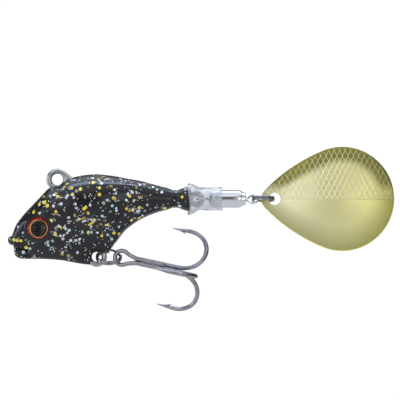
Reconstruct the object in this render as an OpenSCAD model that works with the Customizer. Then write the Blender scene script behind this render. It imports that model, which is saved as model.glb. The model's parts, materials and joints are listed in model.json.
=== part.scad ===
// Tail-spinner jig: a lead fish on a through wire, a swivel under a clear sleeve at its tail,
// a cupped spinner blade on a split ring, and a treble hook on a second split ring.
// Millimetres. The origin is the centre of the line tie. +X runs to the tail, +Z to the back.
// The fish is the same on both sides of the XZ plane.

/* [Body casting] */
// Length of the casting, from the lip to the tail flange
body_len = 34.8; // [30:0.1:42]
// Height of the casting, from the belly corner to the back
body_h = 17.2; // [14:0.1:21]
// Greatest thickness of the casting
body_t = 8.6; // [7:0.1:10.5]
// How far the lip lies ahead of the line tie
nose_ahead = 9.4; // [7.5:0.1:11]
// Height of the back above the line tie
back_above = 1; // [0.6:0.05:1.2]
// Diameter of the round flange that the sleeve grips
flange_d = 4.66; // [4.2:0.02:5.5]

/* [Wire form] */
// Diameter of the through wire
wire_d = 1; // [0.8:0.05:1.2]
// Inside diameter of the line tie
tie_hole_d = 2.16; // [1.8:0.02:2.6]
// Inside diameter of the belly loop
belly_hole_d = 1.86; // [1.7:0.02:2.3]
// Inside diameter of the tail loop
tail_hole_d = 1.2; // [1.1:0.02:1.3]

/* [Lure eye] */
// Diameter of the red foil
eye_d = 4.1; // [3.4:0.1:4.8]
// Diameter of the pupil
pupil_d = 3.1; // [2.4:0.1:3.2]
// Width of the gold ring round the pupil
gold_w = 0.14; // [0.08:0.02:0.2]
// Height of the clear dome over the foil
dome_h = 0.75; // [0.5:0.05:1]

/* [Swivel and sleeve] */
// Diameter of the swivel barrel
barrel_d = 3.34; // [3:0.02:3.8]
// Length of the swivel barrel
barrel_len = 7; // [6.4:0.1:8.6]
// Diameter of the swivel's wire
swivel_wire_d = 0.55; // [0.45:0.05:0.6]
// Inside diameter of the swivel's eyes
swivel_hole_d = 1.3; // [1.25:0.05:1.4]
// Turn of the rear eye about the swivel's axis, from face on
eye_turn = 38; // [30:1:42]
// Wall of the clear sleeve
sleeve_wall = 0.5; // [0.4:0.05:0.8]
// Length of the clear sleeve
sleeve_len = 6.7; // [6:0.1:7.4]

/* [Split rings] */
// Outside diameter of the tail ring
tail_ring_d = 4.4; // [4.2:0.1:5.2]
// Diameter of one coil of the tail ring
tail_coil_d = 0.42; // [0.36:0.02:0.42]
// Outside diameter of the belly ring
belly_ring_d = 5; // [4.8:0.1:6]
// Diameter of one coil of the belly ring
belly_coil_d = 0.46; // [0.4:0.02:0.46]

/* [Spinner blade] */
// Length of the blade
blade_len = 24.8; // [20:0.1:30]
// Width of the blade
blade_w = 19.4; // [16:0.1:20]
// Thickness of the blade's metal
blade_t = 0.5; // [0.4:0.05:0.6]
// Radius of the cup
cup_r = 28; // [24:1:36]
// Diameter of the hole at the blade's nose
blade_hole_d = 2.3; // [2.1:0.1:2.5]

/* [Treble hook] */
// Diameter of the hook wire
hook_wire_d = 0.82; // [0.7:0.02:0.9]
// Length from the middle of the eye to the outside of the bends
hook_len = 15.6; // [13.5:0.1:19]
// Radius of the bends, at the middle of the wire
bend_r = 4.1; // [3.4:0.1:4.8]
// Inside diameter of the hook's eye
hook_eye_d = 1.9; // [1.8:0.05:2.1]
// Length of each tapered point
point_len = 3.4; // [2.8:0.1:4]

/* [Hidden] */
$fn = 48;
eps = 0.01;

fit = 0.02;          // clearance round a wire that is cast in, or a piece that is pressed on
run = 0.05;          // radial clearance of the swivel's turning shank
small_gap = 0.12;    // clearance between pieces that move on each other

tie_r = (tie_hole_d + wire_d) / 2;
belly_r = (belly_hole_d + wire_d) / 2;
tail_r = (tail_hole_d + wire_d) / 2;

axis_z = -3.7;                            // height of the tail's axis
tail_end = body_len - nose_ahead;         // back face of the flange
tail_x = tail_end + wire_d / 2 + 0.5;     // middle of the tail loop

// ---- casting: stations along the fish ----
belly_corner = 0.455;   // share of the length at the lowest point of the belly
// share of the length, share of the height of the back and of the belly, share of the thickness
stations = [
    [0.000, 0.290, 0.262, 0.08],
    [0.012, 0.325, 0.225, 0.30],
    [0.035, 0.403, 0.150, 0.42],
    [0.055, 0.465, 0.096, 0.50],
    [0.075, 0.519, 0.072, 0.57],
    [0.120, 0.626, 0.067, 0.68],
    [0.180, 0.757, 0.064, 0.80],
    [0.230, 0.856, 0.064, 0.88],
    [0.285, 0.906, 0.061, 0.94],
    [0.350, 0.964, 0.035, 0.99],
    [0.420, 0.989, 0.010, 1.00],
    [belly_corner, 0.998, 0.000, 1.00],
    [0.500, 1.000, 0.068, 0.97],
    [0.553, 0.987, 0.151, 0.93],
    [0.600, 0.974, 0.276, 0.87],
    [0.650, 0.958, 0.394, 0.80],
    [0.710, 0.927, 0.487, 0.71],
    [0.780, 0.901, 0.559, 0.60],
    [0.850, 0.867, 0.606, 0.48]];
neck_at = 0.92;         // share of the length at the thinnest part of the tail
neck_r = 1.68;          // radius there
keel = 0.55;            // how much thinner the belly is than the back
ring_sides = 28;        // points round each section

function ease(t) = t * t * (3 - 2 * t);
function bound(t) = min(1, max(0, t));
function seat(u, k) = u >= stations[k + 1][0] && k < len(stations) - 2 ? seat(u, k + 1) : k;
function slope(k, c) =
    let (a = max(0, k - 1), b = min(len(stations) - 1, k + 1))
    (stations[b][c] - stations[a][c]) / (stations[b][0] - stations[a][0]);
function smooth_at(u, c) =
    let (k = seat(u, 0), p = stations[k], q = stations[k + 1], h = q[0] - p[0],
         t = bound((u - p[0]) / h), s = ease(t))
    p[c] * (1 - s) + q[c] * s + h * t * (1 - t) * ((1 - t) * slope(k, c) - t * slope(k + 1, c));

last_u = stations[len(stations) - 1][0];
function back_z(u) = back_above - body_h + body_h * smooth_at(u, 1);
function belly_edge_z(u) = back_above - body_h + body_h * smooth_at(u, 2);

// the tail: a round neck that flares to the flange
function tail_radius(u) = u < neck_at ? neck_r
    : neck_r + (flange_d / 2 - neck_r) * ease(bound((u - neck_at) / (0.985 - neck_at)));
function tail_share(u) = ease(bound((u - last_u) / (neck_at - last_u)));
function top_z(u) = (1 - tail_share(u)) * back_z(min(u, last_u)) + tail_share(u) * (axis_z + tail_radius(u));
function low_z(u) = (1 - tail_share(u)) * belly_edge_z(min(u, last_u)) + tail_share(u) * (axis_z - tail_radius(u));
function half_t(u) = (1 - tail_share(u)) * body_t / 2 * smooth_at(min(u, last_u), 3)
    + tail_share(u) * tail_radius(u);
function keel_at(u) = keel * (1 - ease(bound((u - 0.5) / 0.35))) * ease(bound(u / 0.1));

function section(u) = [for (i = [0 : ring_sides - 1])
    let (a = 360 * i / ring_sides)
    [body_len * u - nose_ahead,
     half_t(u) * sin(a) * (1 + keel_at(u) * cos(a)),
     (top_z(u) + low_z(u)) / 2 + (top_z(u) - low_z(u)) / 2 * cos(a)]];

section_us = concat(
    [for (k = [0 : len(stations) - 2]) each [stations[k][0], (stations[k][0] + stations[k + 1][0]) / 2]],
    [for (k = [0 : 9]) last_u + (1 - last_u) * k / 9]);

// stacks closed sections into one solid
module loft(rings) {
    n = len(rings[0]);
    m = len(rings);
    polyhedron(
        points = [for (r = rings) each r],
        faces = concat(
            [[for (i = [0 : n - 1]) i]],
            [for (k = [0 : m - 2], i = [0 : n - 1])
                each let (a = k * n + i, b = k * n + (i + 1) % n) [[a, a + n, b], [b, a + n, b + n]]],
            [[for (i = [n - 1 : -1 : 0]) (m - 1) * n + i]]));
}

// ---- helpers ----
module wire_loop(r, d) { rotate([90, 0, 0]) rotate_extrude() translate([r, 0]) circle(d = d); }

// round rod between two points
module rod(a, b, d) {
    v = b - a;
    translate(a) rotate([0, acos(v[2] / norm(v)), atan2(v[1], v[0])]) cylinder(h = norm(v), d = d);
}

// ---- wire form ----
loop_behind = 1.07;                       // how far the belly loop lies behind the belly's lowest point
loop_rise = 1.5;                          // and above it
elbow_run = 2.5;                          // how far behind the loop the wire turns to the tail
belly_x = body_len * belly_corner - nose_ahead + loop_behind;
belly_z = back_above - body_h + loop_rise;
tie_c = [0, 0, 0];
belly_c = [belly_x, 0, belly_z];
tail_c = [tail_x, 0, axis_z];
elbow = [belly_x + elbow_run, 0, axis_z];
drop = (belly_c - tie_c) / norm(belly_c - tie_c);
rise = (elbow - belly_c) / norm(elbow - belly_c);

module wire_path(d) {
    wire_loop(tie_r, d);
    translate(belly_c) wire_loop(belly_r, d);
    translate(tail_c) wire_loop(tail_r, d);
    rod(tie_c + drop * tie_r, belly_c - drop * belly_r, d);
    rod(belly_c + rise * belly_r, elbow, d);
    translate(elbow) sphere(d = d + 2 * eps);
    rod(elbow, tail_c - [tail_r, 0, 0], d);
}

module wire_form() color("silver") difference() {
    wire_path(wire_d);
    // narrow land that the line or snap bears on
    rotate([90, 0, 0]) cylinder(h = 2 * wire_d, d = tie_hole_d + 0.06, center = true);
}

// ---- lure eyes ----
eye_behind = 5.9;         // how far the eye lies behind the lip
eye_down = 0.59;          // share of the height from the back to the eye
eye_x = eye_behind - nose_ahead;
eye_z = back_above - eye_down * body_h;
foil_t = 0.3;
inlay_t = 0.1;
pupil_off = [0.2, 0, -0.16];
eye_floor = body_t / 2 * 0.78 - 0.65;          // depth of the flat seat, from the middle
foil_face = eye_floor + foil_t;
inlay_d = pupil_d + 2 * gold_w;

// turns a piece made along +Z on to one flank: side is -1 for the left flank, 1 for the right
module on_flank(side) translate([eye_x, 0, eye_z]) rotate([-90 * side, 0, 0]) children();
module inlay_place(side) translate([pupil_off[0], -side * pupil_off[2], foil_face - inlay_t]) children();

module eye_foil(side) color("firebrick") on_flank(side) difference() {
    translate([0, 0, eye_floor]) cylinder(h = foil_t, d = eye_d);
    inlay_place(side) cylinder(h = 1, d = inlay_d);
}
module eye_gold_ring(side) color("gold") on_flank(side) inlay_place(side) difference() {
    cylinder(h = inlay_t, d = inlay_d);
    translate([0, 0, -1]) cylinder(h = 2, d = pupil_d);
}
module eye_pupil(side) color("black") on_flank(side) inlay_place(side) cylinder(h = inlay_t, d = pupil_d);
module eye_dome(side) {
    dome_r = ((eye_d / 2) ^ 2 + dome_h ^ 2) / (2 * dome_h);
    color("mistyrose", 0.4) on_flank(side) intersection() {
        translate([0, 0, foil_face]) cylinder(h = 2, d = eye_d);
        translate([0, 0, foil_face + dome_h - dome_r]) sphere(r = dome_r, $fn = 96);
    }
}

// ---- casting ----
socket_d = eye_d + 0.2;
web = wire_d + 0.1;       // thickness left round the belly loop
tie_relief = 0.32;        // how far the casting stands back from the line tie's hole
dish_r = 8;
mouth = [[-0.4, 0.223], [-0.4, 0.184], [2.9, 0.18]];   // mm from the lip, share of the height

module body_casting() color("#2b2b30") difference() {
    loft([for (u = section_us) section(u)]);
    wire_path(wire_d + 2 * fit);
    // room for a snap through the line tie
    rotate([90, 0, 0]) cylinder(h = 2 * body_t, d = tie_hole_d + 2 * tie_relief, center = true);
    // hole through the web, and a dish on each side of it for the split ring
    translate(belly_c) rotate([90, 0, 0]) cylinder(h = body_t, d = belly_hole_d + 0.2, center = true);
    for (side = [-1, 1])
        translate(belly_c + [0, side * (web / 2 + dish_r), 0]) sphere(r = dish_r, $fn = 96);
    for (side = [-1, 1])
        on_flank(side) translate([0, 0, eye_floor - eps]) cylinder(h = body_t, d = socket_d);
    rotate([90, 0, 0]) linear_extrude(body_t, center = true)
        polygon([for (p = mouth) [p[0] - nose_ahead, back_above - body_h + body_h * p[1]]]);
}

// ---- swivel ----
eye_r = (swivel_hole_d + swivel_wire_d) / 2;
front_eye_x = tail_x + tail_r;                       // middle of the front eye
barrel_x = front_eye_x + eye_r + swivel_wire_d / 2 + small_gap;
barrel_end = barrel_x + barrel_len;
rear_eye_x = barrel_end + small_gap + swivel_wire_d / 2 + eye_r;
barrel_wall = 0.45;
end_wall = 0.8;
neck_d = 0.8;             // shank of each eye
head_d = 1.7;             // head that keeps the shank in the barrel
head_t = 0.6;
cone_d = 2.12;            // small end of the barrel's rear taper
chamfer = 0.6;
taper = 0.8;

module along_x(x) translate([x, 0, axis_z]) rotate([0, 90, 0]) children();

module swivel_barrel() color("lightgray") along_x(barrel_x) difference() {
    rotate_extrude() polygon([
        [0, 0], [cone_d / 2, 0], [barrel_d / 2 - 0.1, 0.7], [barrel_d / 2, 1],
        [barrel_d / 2, barrel_len - chamfer - taper], [barrel_d / 2 - 0.18, barrel_len - taper],
        [barrel_d / 2 - 0.3, barrel_len - taper], [cone_d / 2, barrel_len], [0, barrel_len]]);
    translate([0, 0, end_wall]) cylinder(h = barrel_len - 2 * end_wall, d = barrel_d - 2 * barrel_wall);
    translate([0, 0, -1]) cylinder(h = barrel_len + 2, d = neck_d + 2 * run);
}

// eye with its shank and head; dir is 1 for an eye behind the barrel and -1 for one ahead of it
module swivel_eye(x, dir, turn) color("gainsboro") translate([x, 0, axis_z]) {
    shank = eye_r + swivel_wire_d / 2 + small_gap + end_wall + run;
    rotate([turn, 0, 0]) wire_loop(eye_r, swivel_wire_d);
    rotate([0, -90 * dir, 0]) {
        translate([0, 0, eye_r]) cylinder(h = shank - eye_r + head_t / 2, d = neck_d);
        translate([0, 0, shank]) cylinder(h = head_t, d = head_d);
    }
}
module swivel_front_eye() swivel_eye(front_eye_x, -1, 90);
module swivel_rear_eye() swivel_eye(rear_eye_x, 1, -eye_turn);

// ---- clear sleeve ----
grip_r = flange_d / 2 + fit;
bore_r = barrel_d / 2 + fit;
lip = 0.7;                 // how far the sleeve reaches over the flange
lip_out = 0.12;            // how far its edge rolls outward

loop_room_r = max(bore_r, tail_r + wire_d / 2 + small_gap);     // bore over the tail loop
front_at = barrel_x - tail_end + lip;                           // where the barrel starts in the sleeve
funnel = 1.1;              // length over which the bore narrows behind the flange
step_len = 0.4;            // and from the loop's room to the barrel

module tail_sleeve() color("lightblue", 0.45) along_x(tail_end - lip) rotate_extrude() polygon([
    [grip_r, 0], [grip_r, lip + 0.05], [loop_room_r, lip + funnel], [loop_room_r, front_at - step_len],
    [bore_r, front_at], [bore_r, sleeve_len],
    [bore_r + sleeve_wall, sleeve_len], [bore_r + sleeve_wall, front_at],
    [loop_room_r + sleeve_wall, front_at - step_len], [loop_room_r + sleeve_wall, lip + funnel + sleeve_wall],
    [grip_r + sleeve_wall, lip + 0.2], [grip_r + sleeve_wall + lip_out, 0]]);

// ---- split rings ----
module split_ring(outer_d, coil_d) {
    r = (outer_d - coil_d) / 2;
    pitch = coil_d * 0.94;
    slot = 0.16;
    color("dimgray") difference() {
        union() for (side = [-1, 1])
            translate([0, 0, side * pitch / 2]) rotate_extrude() translate([r, 0]) circle(d = coil_d);
        // the two free ends of the coil
        for (side = [-1, 1])
            rotate([0, 0, 65 * side]) translate([r, 0, side * (coil_d * 0.6 + 0.03)])
                cube([2 * coil_d, slot, coil_d * 1.2], center = true);
    }
}
tail_ring_r = (tail_ring_d - tail_coil_d) / 2;
tail_ring_x = rear_eye_x + tail_ring_r;
tail_ring_turn = 8;
module tail_split_ring() translate([tail_ring_x, 0, axis_z])
    rotate([-tail_ring_turn, 0, 0]) split_ring(tail_ring_d, tail_coil_d);

belly_ring_r = (belly_ring_d - belly_coil_d) / 2;
belly_ring_c = belly_c + [belly_ring_r + 0.02, 0, -0.05];
belly_ring_turn = 29;
module belly_split_ring() translate(belly_ring_c)
    rotate([belly_ring_turn, 0, 0]) split_ring(belly_ring_d, belly_coil_d);

// ---- spinner blade ----
// An egg outline: a nose arc, two flank arcs and a bowl arc, each tangent to the next.
nose_r = 2.2;
bowl_r = blade_w / 2;
flank_r = 30;
bowl_c = blade_len - bowl_r;
hole_x = blade_hole_d / 2 + 1.15;
flank_x = (((flank_r - nose_r) ^ 2 - (flank_r - bowl_r) ^ 2) / (bowl_c - nose_r) + bowl_c + nose_r) / 2;
flank_z = sqrt((flank_r - bowl_r) ^ 2 - (flank_x - bowl_c) ^ 2);
nose_a = atan2(flank_z, nose_r - flank_x);       // direction of the join with the nose arc
bowl_a = atan2(flank_z, bowl_c - flank_x);       // direction of the join with the bowl arc
function arc(cx, cy, r, a, b, n) = [for (i = [0 : n]) let (t = a + (b - a) * i / n) [cx + r * cos(t), cy + r * sin(t)]];
upper = concat(
    arc(nose_r, 0, nose_r, 180, nose_a, 6),
    arc(flank_x, -flank_z, flank_r, nose_a - 2, bowl_a + 1, 8),
    arc(bowl_c, 0, bowl_r, bowl_a, 0, 14));
blade_outline = concat(upper, [for (i = [len(upper) - 2 : -1 : 1]) [upper[i][0], -upper[i][1]]]);
blade_x = tail_ring_x + tail_ring_r - hole_x + 0.15;
cup_x = blade_len * 0.54;                        // deepest place of the cup, from the nose
cup_y = sqrt(cup_r ^ 2 - (cup_x - hole_x) ^ 2);

module spinner_blade() color("darkkhaki") translate([blade_x, 0, axis_z]) difference() {
    intersection() {
        rotate([90, 0, 0]) linear_extrude(4 * blade_len, center = true) polygon(blade_outline);
        translate([cup_x, cup_y, 0]) difference() {
            sphere(r = cup_r + blade_t / 2, $fn = 128);
            sphere(r = cup_r - blade_t / 2, $fn = 128);
            translate([-2 * blade_len, 0, -2 * blade_len]) cube(4 * blade_len);
        }
    }
    translate([hole_x, 0, 0]) rotate([90, 0, 0]) cylinder(h = 8, d = blade_hole_d, center = true);
}

// ---- treble hook ----
// Local frame: +X along the shank from the middle of the eye, +Z across the eye, -Y to the single hook.
hook_r = hook_wire_d / 2;
hook_eye_r = hook_eye_d / 2 + hook_r;
pair = hook_r + 0.01;                          // half the spacing of the wires in the shank
throat = hook_eye_r + 1.15;                    // where the wires of the eye close on the shank
bend_x = hook_len - hook_r - bend_r;
wire_end = 8.3;                                // free end of the eyed hook's wire
tip_tilt = 5;
treble_drop = 11.8;
treble_yaw = 9;
treble_seat = 0.42;                            // how far the eye sits over the ring's coil
treble_side = 0.1;                             // how far the eye hangs to the right of the ring's middle
treble_sag = 0.15;                             // and below it
treble_c = belly_ring_c
    + [belly_ring_r + (hook_eye_d - belly_coil_d) / 2 - treble_seat, treble_side, -treble_sag];

module treble_place() translate(treble_c) rotate([0, treble_drop, 0]) rotate([0, 0, -treble_yaw]) children();

// bend, point and barb of one hook in the XZ plane, from a shank that ends at the origin
module bend_and_point() {
    root = 0.15;                               // how far the point's cone starts inside the bend
    translate([0, 0, bend_r]) rotate([90, 0, 0]) {
        rotate([0, 0, -90]) rotate_extrude(angle = 180 + tip_tilt) translate([bend_r, 0]) circle(d = hook_wire_d);
        rotate([0, 0, tip_tilt]) translate([root, bend_r, 0]) rotate([0, -90, 0])
            cylinder(h = point_len + root, r1 = hook_r - eps, r2 = 0.04);
        rotate([0, 0, tip_tilt]) translate([0, bend_r, 0]) linear_extrude(0.24, center = true)
            polygon([[-point_len * 0.55, 0], [-point_len * 0.1, -hook_r - 0.42], [-point_len * 0.2, -0.1]]);
    }
}

eye_meet = 40;                                 // where the throat's wires leave the eye, in degrees

module treble_eyed_hook() color("slategray") treble_place() translate([0, -pair, 0]) {
    wire_loop(hook_eye_r, hook_wire_d);
    for (side = [-1, 1]) {
        from = hook_eye_r * [cos(eye_meet), 0, side * sin(eye_meet)];
        to = [throat, 0, side * pair];
        rod(from, to, hook_wire_d - 2 * eps);
        translate(to) sphere(d = hook_wire_d);
    }
    rod([throat, 0, pair], [wire_end, 0, pair], hook_wire_d);
    rod([throat, 0, -pair], [bend_x, 0, -pair], hook_wire_d);
    translate([bend_x, 0, -pair]) rotate([90, 0, 0]) bend_and_point();
}

head_x = throat + 0.3 + hook_r;
module treble_double_hook() color("slategray") treble_place() translate([0, pair, 0]) {
    translate([head_x, 0, 0]) rotate([90, 0, 0]) rotate([0, 0, 90])
        rotate_extrude(angle = 180) translate([pair, 0]) circle(d = hook_wire_d);
    for (side = [-1, 1]) {
        rod([head_x, 0, side * pair], [bend_x, 0, side * pair], hook_wire_d);
        translate([bend_x, 0, side * pair]) rotate([side * -30 + (side < 0 ? 180 : 0), 0, 0]) bend_and_point();
    }
}

module treble_braze() color("silver") treble_place() for (side = [-1, 1]) difference() {
    translate([head_x + 0.6, side * (pair + 0.28) - 0.14, -0.34]) cube([wire_end - head_x - 1.1, 0.28, 0.68]);
    for (z = [-pair, pair])
        rod([head_x, side * pair, z], [bend_x, side * pair, z], hook_wire_d);
}

body_casting();
wire_form();
eye_foil(-1);  // left_eye_foil
eye_foil(1);  // right_eye_foil
eye_gold_ring(-1);  // left_eye_gold_ring
eye_gold_ring(1);  // right_eye_gold_ring
eye_pupil(-1);  // left_eye_pupil
eye_pupil(1);  // right_eye_pupil
eye_dome(-1);  // left_eye_dome
eye_dome(1);  // right_eye_dome
tail_sleeve();
swivel_barrel();
swivel_front_eye();
swivel_rear_eye();
tail_split_ring();
spinner_blade();
belly_split_ring();
treble_eyed_hook();
treble_double_hook();
treble_braze();
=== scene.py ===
import json
import math
import random

import bmesh
import bpy
from mathutils import Matrix, Vector, geometry, noise
from mathutils.bvhtree import BVHTree


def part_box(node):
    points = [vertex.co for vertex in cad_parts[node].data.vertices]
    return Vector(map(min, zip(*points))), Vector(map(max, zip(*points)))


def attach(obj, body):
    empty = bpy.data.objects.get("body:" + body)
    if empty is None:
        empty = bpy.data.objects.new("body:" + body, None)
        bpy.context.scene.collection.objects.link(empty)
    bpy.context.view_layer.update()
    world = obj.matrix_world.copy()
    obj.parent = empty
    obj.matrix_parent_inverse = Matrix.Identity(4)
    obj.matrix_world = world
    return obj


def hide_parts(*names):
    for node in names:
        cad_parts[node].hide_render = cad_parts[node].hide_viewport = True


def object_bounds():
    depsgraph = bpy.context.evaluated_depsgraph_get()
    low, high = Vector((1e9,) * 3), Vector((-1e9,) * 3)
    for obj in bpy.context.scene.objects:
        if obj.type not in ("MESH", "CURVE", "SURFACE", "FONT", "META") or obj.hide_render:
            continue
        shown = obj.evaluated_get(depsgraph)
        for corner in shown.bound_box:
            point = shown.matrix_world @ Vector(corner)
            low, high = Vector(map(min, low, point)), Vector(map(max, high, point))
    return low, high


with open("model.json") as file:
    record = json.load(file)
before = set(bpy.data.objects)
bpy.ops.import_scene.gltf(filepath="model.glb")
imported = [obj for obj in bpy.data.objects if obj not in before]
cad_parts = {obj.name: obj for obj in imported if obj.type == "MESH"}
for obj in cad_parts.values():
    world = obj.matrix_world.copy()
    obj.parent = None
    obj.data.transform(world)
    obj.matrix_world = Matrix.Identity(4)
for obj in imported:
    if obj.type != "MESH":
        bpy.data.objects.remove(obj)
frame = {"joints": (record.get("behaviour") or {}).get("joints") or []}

cadLow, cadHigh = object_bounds()
mm = 0.001                      # the pieces are drawn in millimetres and scaled as they are finished
jointByName = {joint["name"]: joint for joint in frame["joints"]}


def jointPlace(name):
    return Vector(jointByName[name]["pos_m"]) / mm


def jointAxis(name):
    return Vector(jointByName[name]["axis"]).normalized()


def nodeBox(name):
    low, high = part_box(name)
    return low / mm, high / mm


def ease(t):
    t = min(1.0, max(0.0, t))
    return t * t * (3 - 2 * t)


def finishPiece(bm, name, body, nodes, material, sharpAngle=35):
    bmesh.ops.scale(bm, vec=(mm, mm, mm), verts=bm.verts)
    mesh = bpy.data.meshes.new(name)
    bm.to_mesh(mesh)
    bm.free()
    mesh.shade_smooth()
    mesh.set_sharp_from_angle(angle=math.radians(sharpAngle))
    mesh.materials.append(material)
    piece = bpy.data.objects.new(name, mesh)
    bpy.context.scene.collection.objects.link(piece)
    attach(piece, body)
    if nodes:
        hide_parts(*nodes)
    return piece


def turnedShape(profile, steps=64):
    # profile is a list of (place along X, radius), turned about the X axis
    bm = bmesh.new()
    verts = [bm.verts.new((x, 0, r)) for x, r in profile]
    edges = [bm.edges.new(pair) for pair in zip(verts, verts[1:])]
    bmesh.ops.spin(bm, geom=verts + edges, cent=(0, 0, 0), axis=(1, 0, 0), dvec=(0, 0, 0),
                   angle=2 * math.pi, steps=steps, use_merge=True, use_duplicate=False)
    bmesh.ops.remove_doubles(bm, verts=bm.verts, dist=1e-5)
    bmesh.ops.recalc_face_normals(bm, faces=bm.faces)
    return bm


def evenPath(corners, step, passes=0):
    # the corners as a path of even steps, with its bends relaxed a few times
    points = [Vector(corners[0])]
    for a, b in zip(corners, corners[1:]):
        a, b = Vector(a), Vector(b)
        count = max(1, round((b - a).length / step))
        points += [a.lerp(b, k / count) for k in range(1, count + 1)]
    for _ in range(passes):
        inner = [(p + 2 * q + r) / 4 for p, q, r in zip(points, points[1:], points[2:])]
        points = [points[0]] + inner + [points[-1]]
    return points


def arcPath(centre, across, up, radius, start, stop, step=4):
    # points on an arc, with its angles in degrees from across towards up
    count = max(2, round(abs(stop - start) / step))
    angles = [math.radians(start + (stop - start) * k / count) for k in range(count + 1)]
    return [centre + radius * (math.cos(a) * across + math.sin(a) * up) for a in angles]


def sweptWire(bm, points, radius, sides=20):
    # extrudes a round section from point to point; radius is a number or a function of the path length
    widths = radius if callable(radius) else (lambda s: radius)
    tangents = [(b - a).normalized() for a, b in zip(points, points[1:])]
    tangents.append(tangents[-1])
    side = tangents[0].orthogonal().normalized()
    travelled = 0.0
    places = []
    for k, point in enumerate(points):
        along = (tangents[max(0, k - 1)] + tangents[k]).normalized()
        side = (side - side.dot(along) * along).normalized()
        if k:
            travelled += (point - points[k - 1]).length
        axes = Matrix((side, along.cross(side), along)).transposed().to_4x4()
        width = widths(travelled)
        places.append(Matrix.Translation(point) @ axes @ Matrix.Diagonal((width, width, width, 1)))
    ring = bmesh.ops.create_circle(bm, segments=sides, radius=1, matrix=places[0])["verts"]
    edges = list(dict.fromkeys(edge for vert in ring for edge in vert.link_edges))
    bmesh.ops.edgeloop_fill(bm, edges=edges)
    for before, after in zip(places, places[1:]):
        made = bmesh.ops.extrude_edge_only(bm, edges=edges)["geom"]
        verts = [g for g in made if isinstance(g, bmesh.types.BMVert)]
        edges = [g for g in made if isinstance(g, bmesh.types.BMEdge)]
        bmesh.ops.transform(bm, matrix=after @ before.inverted(), verts=verts)
    bmesh.ops.edgeloop_fill(bm, edges=edges)


def wireShape(points, radius, sides=20):
    bm = bmesh.new()
    sweptWire(bm, points, radius, sides)
    bmesh.ops.recalc_face_normals(bm, faces=bm.faces)
    return bm


def meanRadius(outer, coil):
    return (outer - coil) / 2


def roundedEnds(length, radius, blunt):
    # a wire's radius along its length, with both cut ends slightly rounded
    def width(s):
        edge = min(s, length - s)
        return radius * (0.72 + 0.28 * ease(edge / blunt))
    return width


def pathLength(points):
    return sum((b - a).length for a, b in zip(points, points[1:]))


def carved(piece, cutter):
    # takes the cutter's shape out of the piece for good
    cutterMesh = bpy.data.meshes.new("cutter")
    bmesh.ops.scale(cutter, vec=(mm, mm, mm), verts=cutter.verts)
    cutter.to_mesh(cutterMesh)
    cutter.free()
    cutterObject = bpy.data.objects.new("cutter", cutterMesh)
    bpy.context.scene.collection.objects.link(cutterObject)
    cut = piece.modifiers.new("cut", "BOOLEAN")
    cut.operation = "DIFFERENCE"
    cut.solver = "EXACT"
    cut.object = cutterObject
    shape = bpy.data.meshes.new_from_object(piece.evaluated_get(bpy.context.evaluated_depsgraph_get()))
    piece.modifiers.clear()
    old = piece.data
    piece.data = shape
    shape.name = old.name
    bpy.data.meshes.remove(old)
    bpy.data.objects.remove(cutterObject)
    bpy.data.meshes.remove(cutterMesh)
    shape.shade_smooth()
    shape.set_sharp_from_angle(angle=math.radians(40))


tailAxis = jointPlace("swivel_spin")                # a point on the tail's axis
bladeNose = nodeBox("spinner_blade")[0]
hatch = {"pitch": 1.04, "slope": 63, "width": 0.085, "from": -0.12}      # the blade's stamped lines

def startMaterial(name):
    material = bpy.data.materials.new(name)
    material.use_nodes = True
    tree = material.node_tree
    return material, tree, tree.nodes["Principled BSDF"]


def addNode(tree, kind, **settings):
    node = tree.nodes.new(kind)
    for key, value in settings.items():
        setattr(node, key, value)
    return node


def setSockets(tree, shader, sockets):
    # each socket takes a fixed value or another node's output
    for name, value in sockets.items():
        if isinstance(value, (int, float)):
            shader.inputs[name].default_value = value
        else:
            tree.links.new(value, shader.inputs[name])


def noiseField(tree, scale, detail=3, rough=0.55, stretch=(1, 1, 1)):
    # a noise on the object's own coordinates, in metres
    coord = addNode(tree, "ShaderNodeTexCoord")
    mapping = addNode(tree, "ShaderNodeMapping")
    mapping.inputs["Scale"].default_value = stretch
    field = addNode(tree, "ShaderNodeTexNoise")
    field.inputs["Scale"].default_value = scale
    field.inputs["Detail"].default_value = detail
    field.inputs["Roughness"].default_value = rough
    tree.links.new(coord.outputs["Object"], mapping.inputs["Vector"])
    tree.links.new(mapping.outputs["Vector"], field.inputs["Vector"])
    return field.outputs["Fac"]


def spread(tree, value, low, high, start=0.3, stop=0.7):
    # the value's middle part, stretched from low to high
    node = addNode(tree, "ShaderNodeMapRange")
    node.inputs["From Min"].default_value = start
    node.inputs["From Max"].default_value = stop
    node.inputs["To Min"].default_value = low
    node.inputs["To Max"].default_value = high
    tree.links.new(value, node.inputs["Value"])
    return node.outputs["Result"]


def mathNode(tree, operation, first, second=None, third=None):
    # each value is a number or another node's output
    node = addNode(tree, "ShaderNodeMath", operation=operation)
    for socket, value in zip(node.inputs, (first, second, third)):
        if isinstance(value, (int, float)):
            socket.default_value = value
        elif value is not None:
            tree.links.new(value, socket)
    return node.outputs[0]


def blendColours(tree, factor, first, second):
    node = addNode(tree, "ShaderNodeMix", data_type="RGBA")
    tree.links.new(factor, node.inputs["Factor"])
    for socket, colour in (("A", first), ("B", second)):
        target = next(s for s in node.inputs if s.name == socket and s.type == "RGBA")
        if isinstance(colour, tuple):
            target.default_value = (*colour, 1)
        else:
            tree.links.new(colour, target)
    return next(s for s in node.outputs if s.type == "RGBA")


def addBump(tree, height, depth, strength=1.0, after=None):
    node = addNode(tree, "ShaderNodeBump")
    node.inputs["Strength"].default_value = strength
    node.inputs["Distance"].default_value = depth
    tree.links.new(height, node.inputs["Height"])
    if after:
        tree.links.new(after, node.inputs["Normal"])
    return node.outputs["Normal"]


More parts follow.
